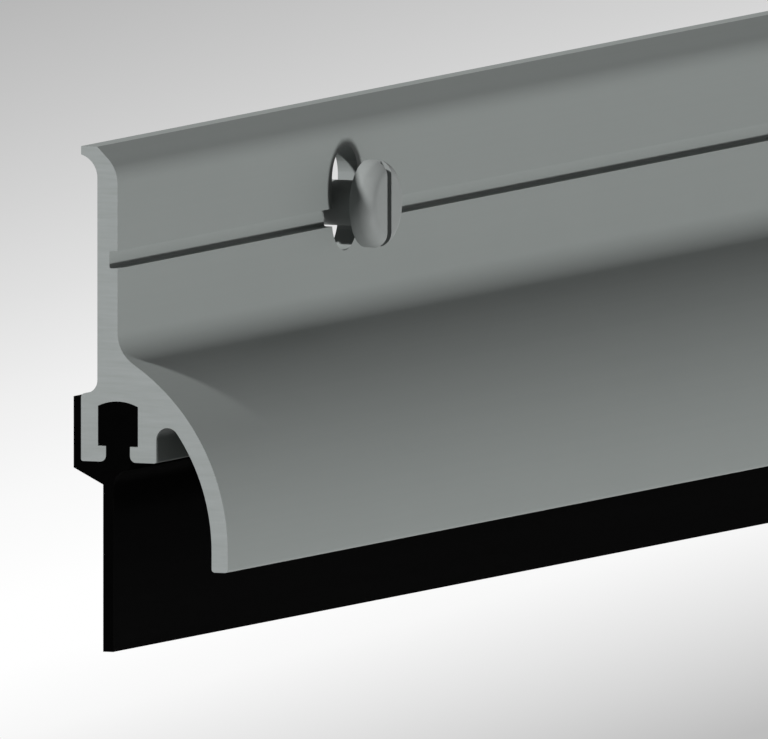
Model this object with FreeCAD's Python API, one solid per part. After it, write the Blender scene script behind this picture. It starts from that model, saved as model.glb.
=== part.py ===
import FreeCAD, Part
import math
import os

# Door bottom sweep with drip, in millimetres.
# X runs along the sweep, the room side with the drip faces -Y, the door is on +Y, and Z is up.
# The origin is the middle of the insert's door-side face, half way along the sweep.
# Sections are drawn as (n, z), where n is the distance out from the door face, so y = -n.

# Whole sweep
sweep_length = 914.4

# Carrier: channel for the insert
back_plane = 0.75  # carrier's door side, out from the door face
foot_to_top = 29.12  # underside of the feet to the top of the lip
rear_wall = 1.7
cavity_width = 4.02
front_wall = 1.82
cavity_height = 4.16
cavity_arch = 0.46  # rise of the arched roof of the cavity
foot_thickness = 1.46  # the two inturned feet
mouth_width = 2.42
mouth_edge = 0.6  # rounding at the mouth's lower edges
roof_thickness = 0.66  # metal over the crown of the cavity, at the shoulder
shoulder_edge = 0.4
foot_edge = 0.2

# Carrier: screw flange
flange_thickness = 2.03
flange_setback = 1.64  # flange's door side, out from the carrier's door side
flange_root = 1.24  # concave rounding between shoulder and flange
lip_top_width = 1.63  # the top lip bends back to the carrier's door side
lip_slope = 45.0  # sloping front of the lip, in degrees
lip_front_radius = 3.3  # from the slope into the flange's face
lip_back_radius = 2.2
lip_back_bend = 2.9  # where the back starts to bend, below the top
groove_height = 1.65  # drill line along the flange
groove_depth = 0.82
groove_corner = 0.18
groove_below_slot = 1.6  # drill line's centre, below the middle of the slots

# Carrier: rain drip
drip_reach = 14.75  # carrier's door side to the drip's outer face
drip_radius = 20.1
drip_wall = 1.62
drip_tip_below_foot = 9.88
drip_straight = 1.9  # upright end of the drip, above the tip
drip_blend = 3.4  # concave rounding between flange and drip
drip_root = 1.15  # rounding at the top of the hollow behind the drip
drip_tip_edge = 0.3

# Slotted holes
slot_length = 9.7
slot_width = 6.0
slot_above_foot = 20.32  # middle of the slots above the feet
slot_end_offset = 52.4  # first and last slot, in from the ends
slot_count = 5

# Rubber insert
insert_gap = 0.05  # all round the insert in its channel
flap_height = 6.6
flap_thickness = back_plane - insert_gap
web_below_foot = 0.58  # rubber under the rear foot, at its outer corner
blade_below_foot = 17.58
blade_thickness = 1.0
blade_setback = 2.97  # blade's door side, out from the door face
gusset_drop = 1.49  # slope from the flap's foot down to the blade
neck_drop = 0.7  # neck keeps its width this far below the feet
neck_radius = 1.6  # from the neck in to the blade's face
bulb_edge = 0.35

# Fixing screws
screw_major = 4.2
screw_length = 19.0  # under the head
screw_point = 4.2
head_diameter = 8.1
head_height = 2.3
head_edge = 1.4  # rounding between the head's side and its flat top
head_edge_steps = 3  # straight steps that the rounding is drawn with
head_stand_off = 2.17  # screws are started but not driven home
screw_below_slot = 0.45  # screw axis below the middle of its slot
driver_slot_width = 0.95
driver_slot_depth = 1.1

# Levels
foot_z = web_below_foot + insert_gap - flap_height / 2
shelf_z = foot_z + foot_thickness
crown_z = shelf_z + cavity_height
spring_z = crown_z - cavity_arch
shoulder_z = crown_z + roof_thickness
top_z = foot_z + foot_to_top
tip_z = foot_z - drip_tip_below_foot
slot_z = foot_z + slot_above_foot
groove_z = slot_z - groove_below_slot
screw_z = slot_z - screw_below_slot
blade_z = foot_z - blade_below_foot

# Stations out from the door face
cavity_back = back_plane + rear_wall
cavity_front = cavity_back + cavity_width
channel_front = cavity_front + front_wall
mouth_back = (cavity_back + cavity_front - mouth_width) / 2
mouth_front = mouth_back + mouth_width
flange_back = back_plane + flange_setback
flange_front = flange_back + flange_thickness
drip_outer = back_plane + drip_reach
drip_inner = drip_outer - drip_wall
head_seat = flange_front + head_stand_off


def vec(n, z):
    return FreeCAD.Vector(-sweep_length / 2, -n, z)


def polar(centre, radius, angle):
    turn = math.radians(angle)
    return (centre[0] + radius * math.cos(turn), centre[1] + radius * math.sin(turn))


def bearing(centre, point):
    return math.degrees(math.atan2(point[1] - centre[1], point[0] - centre[0]))


class Outline:
    """A closed section made of straight runs and arcs, drawn point by point."""

    def __init__(self, start):
        self.start = start
        self.here = start
        self.edges = []

    def to(self, point):
        if math.dist(self.here, point) > 1e-6:
            self.edges.append(Part.makeLine(vec(*self.here), vec(*point)))
        self.here = point

    def arc(self, centre, radius, first, last):
        self.to(polar(centre, radius, first))
        middle = polar(centre, radius, (first + last) / 2)
        end = polar(centre, radius, last)
        self.edges.append(Part.Arc(vec(*self.here), vec(*middle), vec(*end)).toShape())
        self.here = end

    def extruded(self, length):
        self.to(self.start)
        face = Part.Face(Part.Wire(self.edges))
        return face.extrude(FreeCAD.Vector(length, 0, 0))


def slot_stations():
    """X of each slotted hole: evenly spaced between the two end holes."""
    first = slot_end_offset - sweep_length / 2
    pitch = -2 * first / (slot_count - 1)
    return [first + pitch * i for i in range(slot_count)]


def arch_arc(outline, back, front, spring, rise, step):
    """Shallow arch from one spring point to the other: step is 1 towards the front, -1 towards the back."""
    half = (front - back) / 2
    radius = (half * half + rise * rise) / (2 * rise)
    centre = ((back + front) / 2, spring + rise - radius)
    sweep = math.degrees(math.asin(half / radius))
    outline.arc(centre, radius, 90 + step * sweep, 90 - step * sweep)


def carrier_section():
    # Lip: flat top, sloping front, and a rounding into the flange's face
    out = Outline((back_plane, top_z))
    slope_top = back_plane + lip_top_width
    out.to((slope_top, top_z))
    slope = math.radians(lip_slope)
    radius = lip_front_radius
    slope_foot = flange_front - radius * (1 - math.cos(slope))
    fall = (slope_foot - slope_top) * math.tan(slope) + radius * math.sin(slope)
    out.arc((flange_front - radius, top_z - fall), radius, lip_slope, 0)

    # Drill line
    bottom_n = flange_front - groove_depth + groove_corner
    upper_z = groove_z + groove_height / 2
    lower_z = groove_z - groove_height / 2
    out.to((flange_front, upper_z))
    out.arc((bottom_n, upper_z - groove_corner), groove_corner, 90, 180)
    out.arc((bottom_n, lower_z + groove_corner), groove_corner, 180, 270)
    out.to((flange_front, lower_z))

    # Flange into drip: the rounding touches the flange's face and the drip's outer arc.
    drip_centre = (drip_outer - drip_radius, tip_z + drip_straight)
    blend_n = flange_front + drip_blend
    reach = drip_radius + drip_blend
    blend_centre = (blend_n, drip_centre[1] + math.sqrt(reach**2 - (blend_n - drip_centre[0]) ** 2))
    meet = bearing(drip_centre, blend_centre)
    out.arc(blend_centre, drip_blend, 180, 180 + meet)
    out.arc(drip_centre, drip_radius, meet, 0)

    # Rounded tip
    edge = min(drip_tip_edge, 0.45 * drip_wall)
    out.arc((drip_outer - edge, tip_z + edge), edge, 0, -90)
    out.arc((drip_inner + edge, tip_z + edge), edge, -90, -180)

    # Hollow behind the drip: its root touches the inner arc and the channel's front wall.
    inner_radius = drip_radius - drip_wall
    root_n = channel_front + drip_root
    reach = inner_radius - drip_root
    root_centre = (root_n, drip_centre[1] + math.sqrt(reach**2 - (root_n - drip_centre[0]) ** 2))
    meet = bearing(drip_centre, root_centre)
    out.arc(drip_centre, inner_radius, 0, meet)
    out.arc(root_centre, drip_root, meet, 180)

    # Front foot, cavity and rear foot
    out.arc((channel_front - foot_edge, foot_z + foot_edge), foot_edge, 0, -90)
    out.arc((mouth_front + mouth_edge, foot_z + mouth_edge), mouth_edge, -90, -180)
    out.to((mouth_front, shelf_z))
    out.to((cavity_front, shelf_z))
    arch_arc(out, cavity_back, cavity_front, spring_z, cavity_arch, -1)
    out.to((cavity_back, shelf_z))
    out.to((mouth_back, shelf_z))
    out.arc((mouth_back - mouth_edge, foot_z + mouth_edge), mouth_edge, 0, -90)
    out.arc((back_plane + foot_edge, foot_z + foot_edge), foot_edge, -90, -180)

    # Shoulder and the flange's door side
    out.arc((back_plane + shoulder_edge, shoulder_z - shoulder_edge), shoulder_edge, 180, 90)
    root = min(flange_root, flange_back - back_plane - shoulder_edge)
    out.arc((flange_back - root, shoulder_z + root), root, -90, 0)

    # Back of the lip: it bends until it reaches the carrier's door side
    back_angle = math.degrees(math.acos(1 - (flange_back - back_plane) / lip_back_radius))
    out.arc((flange_back - lip_back_radius, top_z - lip_back_bend), lip_back_radius, 0, back_angle)
    return out


def upright_slot(x):
    """Cutter for one slotted hole: a flat-sided bar with rounded ends, right through the flange."""
    radius = slot_width / 2
    straight = slot_length - slot_width
    depth = flange_thickness + 2 * groove_depth
    near = -flange_back + groove_depth
    axis = FreeCAD.Vector(0, -1, 0)
    low = slot_z - straight / 2
    cutter = Part.makeBox(slot_width, depth, straight, FreeCAD.Vector(x - radius, near - depth, low))
    for z in (low, low + straight):
        cutter = cutter.fuse(Part.makeCylinder(radius, depth, FreeCAD.Vector(x, near, z), axis))
    return cutter.removeSplitter()


def drip_carrier():
    solid = carrier_section().extruded(sweep_length)
    for x in slot_stations():
        solid = solid.cut(upright_slot(x))
    return solid


def sweep_insert():
    gap = insert_gap
    neck_back = mouth_back + gap
    neck_front = mouth_front - gap
    bulb_back = cavity_back + gap
    bulb_front = cavity_front - gap
    bulb_low = shelf_z + gap
    blade_back = blade_setback
    blade_front = blade_back + blade_thickness
    flap_top = flap_height / 2

    out = Outline((0, flap_top))
    out.to((0, -flap_top))
    out.to((blade_back, -flap_top - gusset_drop))
    out.to((blade_back, blade_z))
    out.to((blade_front, blade_z))

    # Neck: its front face turns in to the blade's face
    turn = math.degrees(math.acos(1 - (neck_front - blade_front) / neck_radius))
    drop = neck_radius * math.sin(math.radians(turn))
    low_centre = (blade_front + neck_radius, foot_z - neck_drop - drop)
    out.arc(low_centre, neck_radius, 180, 180 - turn)
    out.to((neck_front, foot_z - neck_drop))

    # Bulb in the cavity
    out.to((neck_front, bulb_low))
    out.arc((bulb_front - bulb_edge, bulb_low + bulb_edge), bulb_edge, -90, 0)
    arch_arc(out, bulb_back, bulb_front, spring_z - gap, cavity_arch, -1)
    out.arc((bulb_back + bulb_edge, bulb_low + bulb_edge), bulb_edge, 180, 270)
    out.to((neck_back, bulb_low))

    # Under the rear foot and up behind the channel
    edge = mouth_edge
    out.arc((neck_back - edge, foot_z - gap + edge), edge, 0, -90)
    out.to((flap_thickness, foot_z - gap))
    out.to((flap_thickness, flap_top))
    return out.extruded(sweep_length)


def screw_profile():
    """Half section of a screw, as (radius, distance back from the top of the head)."""
    r_head = head_diameter / 2
    r_shank = screw_major / 2
    tip = head_height + screw_length
    centre = (r_head - head_edge, head_edge)
    turns = [-90 + 90 * i / head_edge_steps for i in range(head_edge_steps + 1)]
    corners = [(0, 0)] + [polar(centre, head_edge, turn) for turn in turns]
    corners += [(r_head, head_height), (r_shank, head_height), (r_shank, tip - screw_point), (0, tip)]
    points = [FreeCAD.Vector(radius, back, 0) for radius, back in corners]
    return Part.makePolygon(points + points[:1])


def pan_screw(x):
    """Slotted pan head screw with its axis along Y, head to the room side and driver slot upright."""
    half = Part.Face(screw_profile())
    solid = half.revolve(FreeCAD.Vector(0, 0, 0), FreeCAD.Vector(0, 1, 0), 360)
    corner = FreeCAD.Vector(-driver_slot_width / 2, -head_height, -head_diameter)
    depth = head_height + driver_slot_depth
    solid = solid.cut(Part.makeBox(driver_slot_width, depth, 2 * head_diameter, corner))
    solid.translate(FreeCAD.Vector(x, -head_seat - head_height, screw_z))
    return solid


def main():
    os.makedirs("parts", exist_ok=True)
    pieces = {"drip_carrier": drip_carrier(), "sweep_insert": sweep_insert()}
    for number, x in enumerate(slot_stations(), 1):
        pieces[f"pan_screw_{number}"] = pan_screw(x)
    for name, shape in pieces.items():
        box = shape.BoundBox
        print(name, shape.isValid(), len(shape.Solids), round(shape.Volume, 2),
              [round(v, 2) for v in (box.XMin, box.YMin, box.ZMin, box.XMax, box.YMax, box.ZMax)])
        shape.exportStep(f"parts/{name}.step")


main()
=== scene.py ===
import math
import bpy
import bmesh
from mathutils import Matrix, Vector


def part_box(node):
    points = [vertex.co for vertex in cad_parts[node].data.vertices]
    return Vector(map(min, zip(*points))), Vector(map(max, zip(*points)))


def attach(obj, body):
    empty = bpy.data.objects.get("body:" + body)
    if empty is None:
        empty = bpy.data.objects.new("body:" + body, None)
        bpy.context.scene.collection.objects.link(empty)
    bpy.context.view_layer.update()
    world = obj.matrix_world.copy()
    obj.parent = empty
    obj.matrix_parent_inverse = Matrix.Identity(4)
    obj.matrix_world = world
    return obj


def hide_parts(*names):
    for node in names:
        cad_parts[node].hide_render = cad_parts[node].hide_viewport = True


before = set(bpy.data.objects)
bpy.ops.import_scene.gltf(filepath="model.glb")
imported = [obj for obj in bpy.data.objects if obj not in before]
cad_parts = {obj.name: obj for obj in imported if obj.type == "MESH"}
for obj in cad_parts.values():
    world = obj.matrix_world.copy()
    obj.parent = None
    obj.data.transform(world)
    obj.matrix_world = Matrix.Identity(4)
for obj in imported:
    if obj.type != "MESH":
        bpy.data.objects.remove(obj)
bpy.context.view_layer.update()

mm = 0.001
weldDistance = 1e-7  # metres, for points that should be one
sharpAngle = 32.0

# Sections are drawn as (out, up) in millimetres: out is the distance from the door face, towards -Y.
carrierLow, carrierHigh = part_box("drip_carrier")
insertLow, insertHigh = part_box("sweep_insert")
screwNodes = sorted(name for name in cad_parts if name.startswith("pan_screw"))
screwBoxes = [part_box(name) for name in screwNodes]
screwX = sorted((low.x + high.x) / 2 for low, high in screwBoxes)
screwZ = (screwBoxes[0][0].z + screwBoxes[0][1].z) / 2


# One output socket, so that node maths can be written as Python expressions
class Wire:
    def __init__(self, bench, socket):
        self.bench = bench
        self.socket = socket

    def maths(self, operation, *others):
        return self.bench.put("ShaderNodeMath", {"operation": operation}, dict(enumerate((self,) + others)))

    def __add__(self, other):
        return self.maths("ADD", other)

    def __sub__(self, other):
        return self.maths("SUBTRACT", other)

    def __rsub__(self, other):
        return self.bench.put("ShaderNodeMath", {"operation": "SUBTRACT"}, {0: other, 1: self})

    def __mul__(self, other):
        return self.maths("MULTIPLY", other)

    def __truediv__(self, other):
        return self.maths("DIVIDE", other)

    def __gt__(self, other):
        return self.maths("GREATER_THAN", other)

    def __abs__(self):
        return self.maths("ABSOLUTE")

    __radd__ = __add__


# A node tree being built: put adds any node, from its settings and the values or wires of its sockets
class Bench:
    def __init__(self, tree):
        self.tree = tree

    def put(self, kind, settings=None, inputs=None, result=0):
        node = self.tree.nodes.new(kind)
        for name, value in (settings or {}).items():
            if name == "stops":
                self.setStops(node.color_ramp, value)
            else:
                setattr(node, name, value)
        for name, value in (inputs or {}).items():
            several = isinstance(value, tuple) and isinstance(value[0], Wire)
            for one in value if several else (value,):
                if isinstance(one, Wire):
                    self.tree.links.new(one.socket, node.inputs[name])
                else:
                    node.inputs[name].default_value = one
        return Wire(self, node.outputs[result]) if node.outputs else None

    def setStops(self, ramp, stops):
        while len(ramp.elements) < len(stops):
            ramp.elements.new(0.5)
        for element, (place, colour) in zip(ramp.elements, stops):
            element.position = place
            element.color = colour

    def mixColour(self, factor, first, second):
        return self.put("ShaderNodeMix", {"data_type": "RGBA"}, {0: factor, 6: first, 7: second}, 2)

    def noise(self, place, scale, detail):
        return self.put("ShaderNodeTexNoise", {}, {"Vector": place, "Scale": scale, "Detail": detail})

    def stretch(self, place, scale):
        return self.put("ShaderNodeMapping", {}, {"Vector": place, "Scale": scale})

    def between(self, share, first, second):
        return first * share + second * (1 - share)


# Linear colour of a grey that shows as this level, 0 to 255, by the sRGB curve
def grey(level):
    share = level / 255
    linear = share / 12.92 if share < 0.04 else ((share + 0.055) / 1.055) ** 2.4
    return (linear, linear, linear, 1.0)


def newMaterial(name):
    material = bpy.data.materials.new(name)
    material.use_nodes = True
    material.node_tree.nodes.clear()
    return material, Bench(material.node_tree)


# Finishes. Texture scales are in marks per metre, as (along, across, up) where they are stretched.

# Surface of a finish: its height gives the bump, and its pattern swings the roughness
def makeSurface(bench, look, colour, pattern, height):
    spread = look["roughnessSpread"]
    bump = bench.put("ShaderNodeBump", {}, {
        "Strength": look["bump"], "Distance": look["bumpDepth"] * mm, "Height": height,
    })
    shader = bench.put("ShaderNodeBsdfPrincipled", {}, {
        "Base Color": colour,
        "Roughness": look["roughness"] - spread / 2 + pattern * spread,
        "Specular IOR Level": look["gloss"],
        "Normal": bump,
    })
    bench.put("ShaderNodeOutputMaterial", {}, {"Surface": shader})


aluminiumLook = dict(
    colour=(0.238, 0.257, 0.249, 1.0),
    shadeColour=(0.224, 0.242, 0.235, 1.0),
    # Lighter for two reasons: bare sawn metal, and painted light that makes faces along the sweep as bright
    # as a lit end face
    cutEndPaintedLightColour=(0.296, 0.314, 0.314, 1.0),
    roughness=0.5,
    roughnessSpread=0.16,
    gloss=0.11,
    bump=0.06,
    bumpDepth=0.05,
    dieLines=(2.0, 2600.0, 2600.0),  # left by the die, along the sweep
    dieCoarseness=0.6,
    mottle=90.0,
    mottleShare=0.6,
    sawLines=(1.0, 300.0, 3200.0),  # left by the saw, on the cut ends
    cutFacing=0.9,  # a face whose normal lies this much along the sweep is a cut end
)


def extrudedFinish(look):
    material, bench = newMaterial("satinAluminium")
    place = bench.put("ShaderNodeTexCoord", {}, {}, "Object")
    lines = bench.put("ShaderNodeTexNoise", {}, {
        "Vector": bench.stretch(place, look["dieLines"]), "Scale": 1.0, "Detail": 3.0,
        "Roughness": look["dieCoarseness"],
    })
    mottle = bench.noise(place, look["mottle"], 4.0)
    sawMarks = bench.noise(bench.stretch(place, look["sawLines"]), 1.0, 2.0)
    normal = bench.put("ShaderNodeNewGeometry", {}, {}, "Normal")
    along = bench.put("ShaderNodeSeparateXYZ", {}, {0: normal})
    # Faces along the sweep (the sawn ends and the slot walls) get the lighter colour: bare cut metal and
    # painted light together
    onCutEndPaintedLight = abs(along) > look["cutFacing"]
    wallTone = bench.between(look["mottleShare"], mottle, lines)
    wall = bench.mixColour(wallTone, look["shadeColour"], look["colour"])
    cut = bench.mixColour(sawMarks, look["colour"], look["cutEndPaintedLightColour"])
    colour = bench.mixColour(onCutEndPaintedLight, wall, cut)
    makeSurface(bench, look, colour, lines, bench.between(onCutEndPaintedLight, sawMarks, lines))
    return material


rubberLook = dict(
    colour=(0.0005, 0.0005, 0.0005, 1.0),
    bloomColour=(0.0011, 0.0011, 0.0011, 1.0),
    roughness=0.6,
    roughnessSpread=0.12,
    gloss=0.004,
    bump=0.15,
    bumpDepth=0.04,
    drawLines=(12.0, 900.0, 900.0),
    drawShare=0.6,
    grain=5200.0,
)


def rubberFinish(look):
    material, bench = newMaterial("blackRubber")
    place = bench.put("ShaderNodeTexCoord", {}, {}, "Object")
    drawn = bench.noise(bench.stretch(place, look["drawLines"]), 1.0, 3.0)
    grain = bench.noise(place, look["grain"], 2.0)
    colour = bench.mixColour(drawn, look["colour"], look["bloomColour"])
    makeSurface(bench, look, colour, grain, bench.between(look["drawShare"], drawn, grain))
    return material


screwLook = dict(
    colour=(0.225, 0.238, 0.234, 1.0),
    wornColour=(0.26, 0.275, 0.27, 1.0),
    roughness=0.5,
    roughnessSpread=0.12,
    gloss=0.1,
    bump=0.08,
    bumpDepth=0.05,
    mottle=700.0,
)


def screwFinish(look):
    material, bench = newMaterial("platedScrew")
    place = bench.put("ShaderNodeTexCoord", {}, {}, "Object")
    mottle = bench.noise(place, look["mottle"], 4.0)
    colour = bench.mixColour(mottle, look["colour"], look["wornColour"])
    makeSurface(bench, look, colour, mottle, mottle)
    return material


# Drawing a section

def polar(centre, radius, angle):
    turn = math.radians(angle)
    return (centre[0] + radius * math.cos(turn), centre[1] + radius * math.sin(turn))


def bearing(centre, point):
    return math.degrees(math.atan2(point[1] - centre[1], point[0] - centre[0]))


# Points on an arc, with no chord further than finest from it
def arcPoints(centre, radius, first, last, finest=0.004):
    step = 2 * math.acos(max(0.0, 1 - finest / radius))
    count = max(3, math.ceil(abs(math.radians(last - first)) / step))
    return [polar(centre, radius, first + (last - first) * i / count) for i in range(count + 1)]


def archPoints(back, front, spring, rise, direction):
    half = (front - back) / 2
    radius = (half * half + rise * rise) / (2 * rise)
    centre = ((back + front) / 2, spring + rise - radius)
    sweep = math.degrees(math.asin(half / radius))
    return arcPoints(centre, radius, 90 + direction * sweep, 90 - direction * sweep)


channelSize = dict(
    back=0.75, rearWall=1.7, cavityWidth=4.02, frontWall=1.82, cavityHeight=4.16, archRise=0.46,
    footThickness=1.46, mouthWidth=2.42, mouthEdge=0.6, roof=0.66, shoulderEdge=0.4, footEdge=0.2,
    dripTipBelowFoot=9.88,
)
footZ = carrierLow.z / mm + channelSize["dripTipBelowFoot"]
shelfZ = footZ + channelSize["footThickness"]
crownZ = shelfZ + channelSize["cavityHeight"]
springZ = crownZ - channelSize["archRise"]
cavityBack = channelSize["back"] + channelSize["rearWall"]
cavityFront = cavityBack + channelSize["cavityWidth"]
channelFront = cavityFront + channelSize["frontWall"]
mouthBack = (cavityBack + cavityFront - channelSize["mouthWidth"]) / 2
mouthFront = mouthBack + channelSize["mouthWidth"]

flangeSize = dict(
    thickness=2.03, setback=1.64, root=1.24, lipTop=1.63, lipSlope=45.0, lipFrontRadius=3.3,
    lipBackRadius=2.2, lipBackBend=2.9,
    grooveHeight=1.65, grooveDepth=0.82, grooveCorner=0.18, grooveBelowSlot=1.6,
)
flangeBack = channelSize["back"] + flangeSize["setback"]
flangeFront = flangeBack + flangeSize["thickness"]

# endShare is the ends' rounding as a share of the width, a hair under a half so that no two corners meet
slotSize = dict(width=6.0, length=9.7, aboveFoot=20.32, arcSteps=20, endShare=0.49999, punchMargin=1.0)
slotZ = footZ + slotSize["aboveFoot"]

dripSize = dict(radius=20.1, wall=1.62, straight=1.9, blend=3.4, root=1.15, tipEdge=0.3)


def carrierOutline():
    channel, flange, drip = channelSize, flangeSize, dripSize
    top = carrierHigh.z / mm
    tip = carrierLow.z / mm
    outer = -carrierLow.y / mm
    inner = outer - drip["wall"]
    back = channel["back"]
    points = [(back, top), (back + flange["lipTop"], top)]

    # Front of the lip
    radius, slope = flange["lipFrontRadius"], math.radians(flange["lipSlope"])
    slopeFoot = flangeFront - radius * (1 - math.cos(slope))
    fall = (slopeFoot - back - flange["lipTop"]) * math.tan(slope) + radius * math.sin(slope)
    points += arcPoints((flangeFront - radius, top - fall), radius, flange["lipSlope"], 0)

    # Drill line
    corner = flange["grooveCorner"]
    deep = flangeFront - flange["grooveDepth"] + corner
    grooveZ = slotZ - flange["grooveBelowSlot"]
    half = flange["grooveHeight"] / 2
    points.append((flangeFront, grooveZ + half))
    points += arcPoints((deep, grooveZ + half - corner), corner, 90, 180)
    points += arcPoints((deep, grooveZ - half + corner), corner, 180, 270)
    points.append((flangeFront, grooveZ - half))

    # Flange into drip
    centre = (outer - drip["radius"], tip + drip["straight"])
    blendOut = flangeFront + drip["blend"]
    reach = drip["radius"] + drip["blend"]
    blendCentre = (blendOut, centre[1] + math.sqrt(reach ** 2 - (blendOut - centre[0]) ** 2))
    meet = bearing(centre, blendCentre)
    points += arcPoints(blendCentre, drip["blend"], 180, 180 + meet)
    points += arcPoints(centre, drip["radius"], meet, 0)

    # Rounded tip
    edge = drip["tipEdge"]
    points += arcPoints((outer - edge, tip + edge), edge, 0, -90)
    points += arcPoints((inner + edge, tip + edge), edge, -90, -180)

    # Hollow behind the drip
    innerRadius = drip["radius"] - drip["wall"]
    rootOut = channelFront + drip["root"]
    reach = innerRadius - drip["root"]
    rootCentre = (rootOut, centre[1] + math.sqrt(reach ** 2 - (rootOut - centre[0]) ** 2))
    meet = bearing(centre, rootCentre)
    points += arcPoints(centre, innerRadius, 0, meet)
    points += arcPoints(rootCentre, drip["root"], meet, 180)

    # Feet and cavity
    foot, mouth = channel["footEdge"], channel["mouthEdge"]
    points += arcPoints((channelFront - foot, footZ + foot), foot, 0, -90)
    points += arcPoints((mouthFront + mouth, footZ + mouth), mouth, -90, -180)
    points += [(mouthFront, shelfZ), (cavityFront, shelfZ)]
    points += archPoints(cavityBack, cavityFront, springZ, channel["archRise"], -1)
    points += [(cavityBack, shelfZ), (mouthBack, shelfZ)]
    points += arcPoints((mouthBack - mouth, footZ + mouth), mouth, 0, -90)
    points += arcPoints((back + foot, footZ + foot), foot, -90, -180)

    # Shoulder and the flange's door side
    shoulder = channel["shoulderEdge"]
    shoulderZ = crownZ + channel["roof"]
    points += arcPoints((back + shoulder, shoulderZ - shoulder), shoulder, 180, 90)
    root = min(flange["root"], flangeBack - back - shoulder)
    points += arcPoints((flangeBack - root, shoulderZ + root), root, -90, 0)
    lip = flange["lipBackRadius"]
    drop = math.degrees(math.acos(1 - (flangeBack - back) / lip))
    points += arcPoints((flangeBack - lip, top - flange["lipBackBend"]), lip, 0, drop)
    return points


insertSize = dict(
    gap=0.05, webBelowFoot=0.58, bladeThickness=1.0, bladeSetback=2.97, gussetDrop=1.49,
    neckDrop=0.7, neckRadius=1.6, bulbEdge=0.35,
)


def insertOutline():
    size = insertSize
    gap = size["gap"]
    neckBack, neckFront = mouthBack + gap, mouthFront - gap
    bulbBack, bulbFront, bulbLow = cavityBack + gap, cavityFront - gap, shelfZ + gap
    bladeBack = size["bladeSetback"]
    bladeFront = bladeBack + size["bladeThickness"]
    flapTop = insertHigh.z / mm
    flapFoot = footZ - gap - size["webBelowFoot"]
    flapInner = channelSize["back"] - gap
    bladeZ = insertLow.z / mm
    points = [(0.0, flapTop), (0.0, flapFoot), (bladeBack, flapFoot - size["gussetDrop"])]
    points += [(bladeBack, bladeZ), (bladeFront, bladeZ)]
    radius = size["neckRadius"]
    turn = math.degrees(math.acos(1 - (neckFront - bladeFront) / radius))
    drop = radius * math.sin(math.radians(turn))
    points += arcPoints((bladeFront + radius, footZ - size["neckDrop"] - drop), radius, 180, 180 - turn)
    points += [(neckFront, bulbLow)]
    edge = size["bulbEdge"]
    points += arcPoints((bulbFront - edge, bulbLow + edge), edge, -90, 0)
    points += archPoints(bulbBack, bulbFront, springZ - gap, channelSize["archRise"], -1)
    points += arcPoints((bulbBack + edge, bulbLow + edge), edge, 180, 270)
    points += [(neckBack, bulbLow)]
    mouth = channelSize["mouthEdge"]
    points += arcPoints((neckBack - mouth, footZ - gap + mouth), mouth, 0, -90)
    points += [(flapInner, footZ - gap), (flapInner, flapTop)]
    return points


# One flat face with the section's outline, facing +X
def sectionMesh(name, outline, x):
    kept = [p for i, p in enumerate(outline) if math.dist(p, outline[i - 1]) * mm > weldDistance]
    area = sum(a[0] * b[1] - b[0] * a[1] for a, b in zip(kept, kept[1:] + kept[:1])) / 2
    if area > 0:
        kept.reverse()
    mesh = bpy.data.meshes.new(name)
    mesh.from_pydata([(x, -out * mm, up * mm) for out, up in kept], [], [list(range(len(kept)))])
    return mesh


# Geometry node trees

def newTree(name, sockets):
    tree = bpy.data.node_groups.new(name, "GeometryNodeTree")
    tree.interface.new_socket("Geometry", in_out="INPUT", socket_type="NodeSocketGeometry")
    for label, kind in sockets:
        tree.interface.new_socket(label, in_out="INPUT", socket_type=kind)
    tree.interface.new_socket("Geometry", in_out="OUTPUT", socket_type="NodeSocketGeometry")
    bench = Bench(tree)
    entry = tree.nodes.new("NodeGroupInput")
    given = {s.name: Wire(bench, s) for s in entry.outputs if s.name}
    return tree, bench, given


# A solid from one flat face: the walls, the far face, and the near face turned round
def closedExtrusion(bench, face, vector, distance):
    walls = bench.put("GeometryNodeExtrudeMesh", {"mode": "FACES"}, {
        "Mesh": face, "Offset": vector, "Offset Scale": distance, "Individual": False,
    })
    near = bench.put("GeometryNodeFlipFaces", {}, {0: face})
    both = bench.put("GeometryNodeJoinGeometry", {}, {0: (walls, near)})
    return bench.put("GeometryNodeMergeByDistance", {}, {"Geometry": both, "Distance": weldDistance})


def cutAway(bench, solid, tool):
    return bench.put("GeometryNodeMeshBoolean", {"operation": "DIFFERENCE", "solver": "EXACT"}, {
        "Mesh 1": solid, "Mesh 2": tool,
    })


def finishTree(bench, geometry, material):
    real = bench.put("GeometryNodeRealizeInstances", {}, {0: geometry})
    painted = bench.put("GeometryNodeSetMaterial", {}, {"Geometry": real, "Material": material})
    bench.put("NodeGroupOutput", {}, {0: painted})


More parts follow.
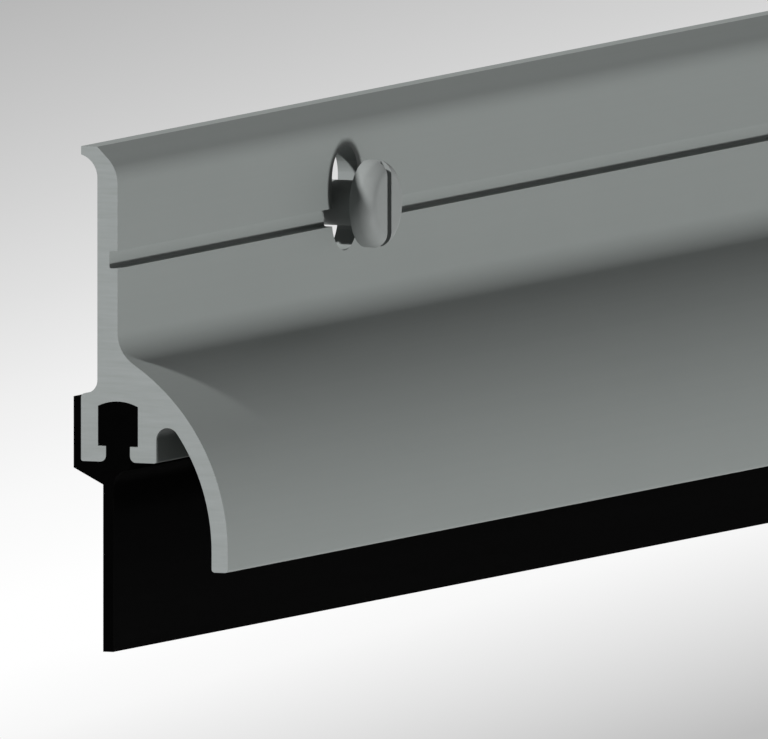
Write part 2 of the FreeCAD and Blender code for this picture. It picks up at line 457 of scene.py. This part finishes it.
# The section pulled to the sweep's length, with a row of upright slots punched through its flange
def extrusionTree(material):
    tree, bench, given = newTree("punchedExtrusion", [
        ("Length", "NodeSocketFloat"), ("Slots", "NodeSocketInt"),
        ("First slot", "NodeSocketVector"), ("Pitch", "NodeSocketVector"),
        ("Slot width", "NodeSocketFloat"), ("Slot length", "NodeSocketFloat"),
        ("Punch depth", "NodeSocketFloat"),
    ])
    solid = closedExtrusion(bench, given["Geometry"], (1.0, 0.0, 0.0), given["Length"])
    box = bench.put("GeometryNodeCurvePrimitiveQuadrilateral", {}, {
        "Width": given["Slot width"], "Height": given["Slot length"],
    })
    rounded = bench.put("GeometryNodeFilletCurve", {"mode": "POLY"}, {
        "Curve": box, "Radius": given["Slot width"] * slotSize["endShare"], "Count": slotSize["arcSteps"],
    })
    plate = bench.put("GeometryNodeFillCurve", {"mode": "NGONS"}, {"Curve": rounded})
    punch = closedExtrusion(bench, plate, (0.0, 0.0, 1.0), given["Punch depth"])
    turned = bench.put("GeometryNodeTransform", {}, {
        "Geometry": punch, "Rotation": (math.pi / 2, 0.0, 0.0),
    })
    row = bench.put("GeometryNodeMeshLine", {"mode": "OFFSET"}, {
        "Count": given["Slots"], "Start Location": given["First slot"], "Offset": given["Pitch"],
    })
    punches = bench.put("GeometryNodeInstanceOnPoints", {}, {"Points": row, "Instance": turned})
    allPunches = bench.put("GeometryNodeRealizeInstances", {}, {0: punches})
    finishTree(bench, cutAway(bench, solid, allPunches), material)
    return tree


def plainExtrusionTree(material):
    tree, bench, given = newTree("plainExtrusion", [("Length", "NodeSocketFloat")])
    solid = closedExtrusion(bench, given["Geometry"], (1.0, 0.0, 0.0), given["Length"])
    finishTree(bench, solid, material)
    return tree


# A row of screws, one at each slot, each with its driver slot cut across the head
def screwRowTree(material):
    tree, bench, given = newTree("screwRow", [
        ("Count", "NodeSocketInt"), ("First", "NodeSocketVector"), ("Pitch", "NodeSocketVector"),
        ("Driver slot", "NodeSocketVector"), ("Thread", "NodeSocketObject"),
    ])
    blade = bench.put("GeometryNodeMeshCube", {}, {"Size": given["Driver slot"]})
    slotted = cutAway(bench, given["Geometry"], blade)
    thread = bench.put("GeometryNodeObjectInfo", {}, {"Object": given["Thread"]}, "Geometry")
    screw = bench.put("GeometryNodeJoinGeometry", {}, {0: (slotted, thread)})
    row = bench.put("GeometryNodeMeshLine", {"mode": "OFFSET"}, {
        "Count": given["Count"], "Start Location": given["First"], "Offset": given["Pitch"],
    })
    screws = bench.put("GeometryNodeInstanceOnPoints", {}, {"Points": row, "Instance": screw})
    finishTree(bench, screws, material)
    return tree


# Runs a tree on a mesh and keeps the result as a plain mesh piece at the origin
def grow(name, mesh, tree, values):
    source = bpy.data.objects.new(name + "Source", mesh)
    bpy.context.scene.collection.objects.link(source)
    modifier = source.modifiers.new("grow", "NODES")
    modifier.node_group = tree
    for item in tree.interface.items_tree:
        if item.in_out == "INPUT" and item.name in values:
            modifier[item.identifier] = values[item.name]
    view = bpy.context.evaluated_depsgraph_get()
    grown = bpy.data.meshes.new_from_object(source.evaluated_get(view))
    grown.name = name
    bpy.data.objects.remove(source)
    grown.polygons.foreach_set("use_smooth", [True] * len(grown.polygons))
    grown.set_sharp_from_angle(angle=math.radians(sharpAngle))
    piece = bpy.data.objects.new(name, grown)
    bpy.context.scene.collection.objects.link(piece)
    return piece


def makeCarrier(material):
    section = sectionMesh("carrierSection", carrierOutline(), carrierLow.x)
    margin = slotSize["punchMargin"]
    piece = grow("dripCarrier", section, extrusionTree(material), {
        "Length": carrierHigh.x - carrierLow.x,
        "Slots": len(screwX),
        "First slot": (screwX[0], -(flangeBack - margin) * mm, slotZ * mm),
        "Pitch": (screwX[1] - screwX[0], 0.0, 0.0),
        "Slot width": slotSize["width"] * mm,
        "Slot length": slotSize["length"] * mm,
        "Punch depth": (flangeSize["thickness"] + 2 * margin) * mm,
    })
    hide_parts("drip_carrier")
    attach(piece, "sweep")
    return piece


def makeInsert(material):
    section = sectionMesh("insertSection", insertOutline(), insertLow.x)
    piece = grow("rubberInsert", section, plainExtrusionTree(material), {
        "Length": insertHigh.x - insertLow.x,
    })
    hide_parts("sweep_insert")
    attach(piece, "sweep")
    return piece


screwSize = dict(
    headDiameter=8.1, headHeight=2.3, headEdge=1.4, rimEdge=0.08, driverWidth=0.95, driverDepth=1.1,
    length=19.0, neck=4.6, major=4.2, minor=3.1, fillet=0.3, point=4.2, pitch=1.41,
    halfWidth=0.36,  # of the thread's ridge at its foot, as a share of the pitch
    sink=0.9,  # the ridge's foot, as a share of the core's radius
    crestAtPoint=0.35,  # height of the ridge that is left at the point's tip
    runIn=0.1,  # height of the ridge at its first step; it is full after one turn
    threadEnd=0.9,  # plain length at the point's tip
    around=64, perTurn=28,
)


# A point at this radius, turn and distance behind the head's top, in metres
def aroundScrew(radius, turn, back):
    return (radius * math.cos(turn) * mm, back * mm, radius * math.sin(turn) * mm)


# Head, neck and core turned round Y, with the head's top at y = 0 and the point at +Y
def screwBody():
    size = screwSize
    head, edge, rim = size["headDiameter"] / 2, size["headEdge"], size["rimEdge"]
    profile = [(0.0, 0.0)] + arcPoints((head - edge, edge), edge, -90, 0, finest=0.01)
    core, neck, fillet = size["minor"] / 2, size["major"] / 2, size["fillet"]
    seat = size["headHeight"]
    neckEnd = seat + size["neck"]
    tip = seat + size["length"]
    profile += arcPoints((head - rim, seat - rim), rim, 0, 90)
    profile += arcPoints((neck + fillet, seat + fillet), fillet, -90, -180)
    profile += [(neck, neckEnd), (core, neckEnd + neck - core), (core, tip - size["point"]), (0.0, tip)]
    mesh = bpy.data.meshes.new("screwBody")
    form = bmesh.new()
    rings = []
    for radius, back in profile:
        count = size["around"] if radius > 0 else 1
        turns = [2 * math.pi * (i + 0.5) / size["around"] for i in range(count)]
        rings.append([form.verts.new(aroundScrew(radius, turn, back)) for turn in turns])
    for first, second in zip(rings, rings[1:]):
        for i in range(size["around"]):
            j = (i + 1) % size["around"]
            corners = [first[i % len(first)], first[j % len(first)]]
            corners += [second[j % len(second)], second[i % len(second)]]
            form.faces.new(list(dict.fromkeys(corners)))
    bmesh.ops.remove_doubles(form, verts=form.verts, dist=weldDistance)
    bmesh.ops.recalc_face_normals(form, faces=form.faces)
    form.to_mesh(mesh)
    form.free()
    return mesh


# A V-shaped ridge wound round the core, running out at the neck and along the point
def screwThread():
    size = screwSize
    start = size["headHeight"] + size["neck"]
    tip = size["headHeight"] + size["length"]
    end = tip - size["threadEnd"]
    turns = (end - start) / size["pitch"]
    steps = math.ceil(turns * size["perTurn"])
    depth = (size["major"] - size["minor"]) / 2
    half = size["pitch"] * size["halfWidth"]
    mesh = bpy.data.meshes.new("screwThread")
    form = bmesh.new()
    rows = []
    for i in range(steps + 1):
        share = i / steps
        turn = 2 * math.pi * turns * share
        back = start + (end - start) * share
        narrow = min(1.0, (tip - back) / size["point"])
        runIn = min(1.0, size["runIn"] + i / size["perTurn"])
        core = size["minor"] / 2 * narrow
        crest = core + depth * runIn * (size["crestAtPoint"] + (1 - size["crestAtPoint"]) * narrow)
        foot = core * size["sink"]
        shift = half * runIn
        corners = [(foot, back - shift), (crest, back), (foot, back + shift)]
        rows.append([form.verts.new(aroundScrew(radius, turn, place)) for radius, place in corners])
    for first, second in zip(rows, rows[1:]):
        for i in range(3):
            j = (i + 1) % 3
            form.faces.new([first[i], first[j], second[j], second[i]])
    form.faces.new(rows[0])
    form.faces.new(rows[-1][::-1])
    bmesh.ops.recalc_face_normals(form, faces=form.faces)
    form.to_mesh(mesh)
    form.free()
    thread = bpy.data.objects.new("screwThreadSource", mesh)
    bpy.context.scene.collection.objects.link(thread)
    return thread


def makeScrews(material):
    size = screwSize
    thread = screwThread()
    headTop = min(low.y for low, high in screwBoxes)
    blade = (size["driverWidth"], 2 * size["driverDepth"], 2 * size["headDiameter"])
    piece = grow("panScrews", screwBody(), screwRowTree(material), {
        "Count": len(screwX),
        "First": (screwX[0], headTop, screwZ),
        "Pitch": (screwX[1] - screwX[0], 0.0, 0.0),
        "Driver slot": tuple(side * mm for side in blade),
        "Thread": thread,
    })
    bpy.data.objects.remove(thread)
    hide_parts(*screwNodes)
    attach(piece, "fixings")
    return piece


# Camera, backdrop and lights

pictureSetup = dict(
    azimuth=-66.42,
    lengthSlope=0.1969,  # rise of the long edges across the picture, for each pixel to the right
    pixelsPerMm=10.85,
    width=768,
    height=739,
    doorFaceX=73.6,  # pixel of the near end's door face
    bladeY=650.6,  # pixel of the blade's lower edge, at the door face
    distance=1.2,
)


# Right, up and back of the camera
def pictureAxes(setup):
    turn = math.radians(setup["azimuth"])
    tilt = math.asin(setup["lengthSlope"] * math.cos(turn) / -math.sin(turn))
    right = Vector((math.cos(turn), math.sin(turn), 0.0))
    back = Vector((math.sin(turn) * math.cos(tilt), -math.cos(turn) * math.cos(tilt), math.sin(tilt)))
    return right, back.cross(right), back


def pictureCentre(setup):
    right, up, back = pictureAxes(setup)
    corner = Vector((carrierLow.x, 0.0, insertLow.z))
    across = (setup["width"] / 2 - setup["doorFaceX"]) / setup["pixelsPerMm"] * mm
    above = (setup["bladeY"] - setup["height"] / 2) / setup["pixelsPerMm"] * mm
    return corner + right * across + up * above


def makeCamera(setup):
    right, up, back = pictureAxes(setup)
    data = bpy.data.cameras.new("pictureCamera")
    data.type = "ORTHO"
    data.ortho_scale = setup["width"] / setup["pixelsPerMm"] * mm
    camera = bpy.data.objects.new("pictureCamera", data)
    camera.location = pictureCentre(setup) + back * setup["distance"]
    camera.rotation_mode = "QUATERNION"
    camera.rotation_quaternion = back.to_track_quat("Z", "Y")
    bpy.context.scene.collection.objects.link(camera)
    bpy.context.scene.camera = camera


backdropSetup = dict(
    floorZ=-0.3,
    floorRadius=6.0,
    floorColour=(0.8, 0.8, 0.8, 1.0),
    floorPatchColour=(0.84, 0.84, 0.84, 1.0),
    bounceColour=(0.3, 0.3, 0.3, 1.0),  # what the floor and wall give back to the part
    wallDistance=1.8,
    wallWidth=2.6,
    wallHeight=1.5,
    fadeRun=102.0,  # millimetres over which the stops below are spread, down and to the right
    fadeStart=-44.0,
    fadeTilt=0.29,
    stops=((0.0, 184), (0.11, 200), (0.185, 211), (0.27, 224), (0.36, 239), (0.45, 249), (0.545, 255),
           (0.6, 255), (0.665, 248), (0.738, 229), (0.787, 214), (0.855, 189)),
)


# 1 for rays that show the backdrop: seen by the camera, mirrored in gloss or through glass
def pictureRays(bench):
    seen = bench.put("ShaderNodeLightPath", {}, {}, "Is Camera Ray")
    for kind in ("Is Glossy Ray", "Is Transmission Ray"):
        seen = seen.maths("MAXIMUM", bench.put("ShaderNodeLightPath", {}, {}, kind))
    return seen


def makeFloor(setup):
    mesh = bpy.data.meshes.new("studioFloor")
    form = bmesh.new()
    bmesh.ops.create_circle(form, cap_ends=True, radius=setup["floorRadius"], segments=64)
    for vert in form.verts:
        vert.co.z = setup["floorZ"]
    form.to_mesh(mesh)
    form.free()
    material, bench = newMaterial("paleFloor")
    place = bench.put("ShaderNodeTexCoord", {}, {}, "Object")
    patches = bench.noise(place, 2.0, 2.0)
    colour = bench.mixColour(patches, setup["floorColour"], setup["floorPatchColour"])
    seenFloor = bench.put("ShaderNodeBsdfDiffuse", {}, {"Color": colour})
    darkFloor = bench.put("ShaderNodeBsdfDiffuse", {}, {"Color": setup["bounceColour"]})
    shader = bench.put("ShaderNodeMixShader", {}, {0: pictureRays(bench), 1: darkFloor, 2: seenFloor})
    bench.put("ShaderNodeOutputMaterial", {}, {"Surface": shader})
    mesh.materials.append(material)
    floor = bpy.data.objects.new("studioFloor", mesh)
    floor.visible_shadow = False  # the low fill light comes from under its level
    bpy.context.scene.collection.objects.link(floor)


# A pale wall square to the camera, fading from grey at the top to white lower down
def makeWall(setup, picture):
    right, up, back = pictureAxes(picture)
    middle = pictureCentre(picture)
    centre = middle - back * setup["wallDistance"]
    half = right * setup["wallWidth"] / 2
    foot = centre + up * ((setup["floorZ"] - centre.z) / up.z)
    rise = up * setup["wallHeight"]
    corners = [foot - half, foot + half, foot + half + rise, foot - half + rise]
    mesh = bpy.data.meshes.new("studioWall")
    mesh.from_pydata([tuple(c) for c in corners], [], [(0, 1, 2, 3)])
    material, bench = newMaterial("fadedWall")
    place = bench.put("ShaderNodeTexCoord", {}, {}, "Object")
    slope = right * setup["fadeTilt"] - up
    start = setup["fadeStart"] * mm + slope.dot(middle)
    along = bench.put("ShaderNodeVectorMath", {"operation": "DOT_PRODUCT"}, {
        0: place, 1: tuple(slope),
    }, "Value")
    share = (along - start) / (setup["fadeRun"] * mm)
    stops = [(spot, grey(level)) for spot, level in setup["stops"]]
    fade = bench.put("ShaderNodeValToRGB", {"stops": stops}, {0: share})
    glow = bench.put("ShaderNodeEmission", {}, {"Color": fade, "Strength": 1.0})
    plain = bench.put("ShaderNodeBsdfDiffuse", {}, {"Color": setup["bounceColour"]})
    mixed = bench.put("ShaderNodeMixShader", {}, {0: pictureRays(bench), 1: plain, 2: glow})
    bench.put("ShaderNodeOutputMaterial", {}, {"Surface": mixed})
    mesh.materials.append(material)
    wall = bpy.data.objects.new("studioWall", mesh)
    wall.visible_shadow = False
    bpy.context.scene.collection.objects.link(wall)


lightSetup = dict(
    key=dict(towards=(-0.71, 0.37, 0.597), strength=4.25, softness=4.0),
    fill=dict(towards=(-0.03, -0.885, -0.464), strength=2.7, softness=8.0),
    ambient=0.02,
    paleness=0.93,
)


def makeSun(name, setup):
    data = bpy.data.lights.new(name, "SUN")
    data.energy = setup["strength"]
    data.angle = math.radians(setup["softness"])
    lamp = bpy.data.objects.new(name, data)
    lamp.rotation_mode = "QUATERNION"
    lamp.rotation_quaternion = Vector(setup["towards"]).to_track_quat("Z", "Y")
    bpy.context.scene.collection.objects.link(lamp)


def makeWorld(setup):
    world = bpy.data.worlds.new("studioWorld")
    world.use_nodes = True
    world.node_tree.nodes.clear()
    bench = Bench(world.node_tree)
    level = setup["ambient"] + pictureRays(bench) * (setup["paleness"] - setup["ambient"])
    glow = bench.put("ShaderNodeBackground", {}, {"Color": (1.0, 1.0, 1.0, 1.0), "Strength": level})
    bench.put("ShaderNodeOutputWorld", {}, {"Surface": glow})
    bpy.context.scene.world = world


def main():
    makeCamera(pictureSetup)
    makeFloor(backdropSetup)
    makeWall(backdropSetup, pictureSetup)
    makeWorld(lightSetup)
    makeSun("keyLight", lightSetup["key"])
    makeSun("fillLight", lightSetup["fill"])
    bpy.context.scene.view_settings.view_transform = "Standard"
    print("stage and lights are up")
    makeCarrier(extrudedFinish(aluminiumLook))
    print("carrier is extruded and punched")
    makeInsert(rubberFinish(rubberLook))
    print("rubber insert is in its channel")
    makeScrews(screwFinish(screwLook))
    print("screws are in their slots")


main()
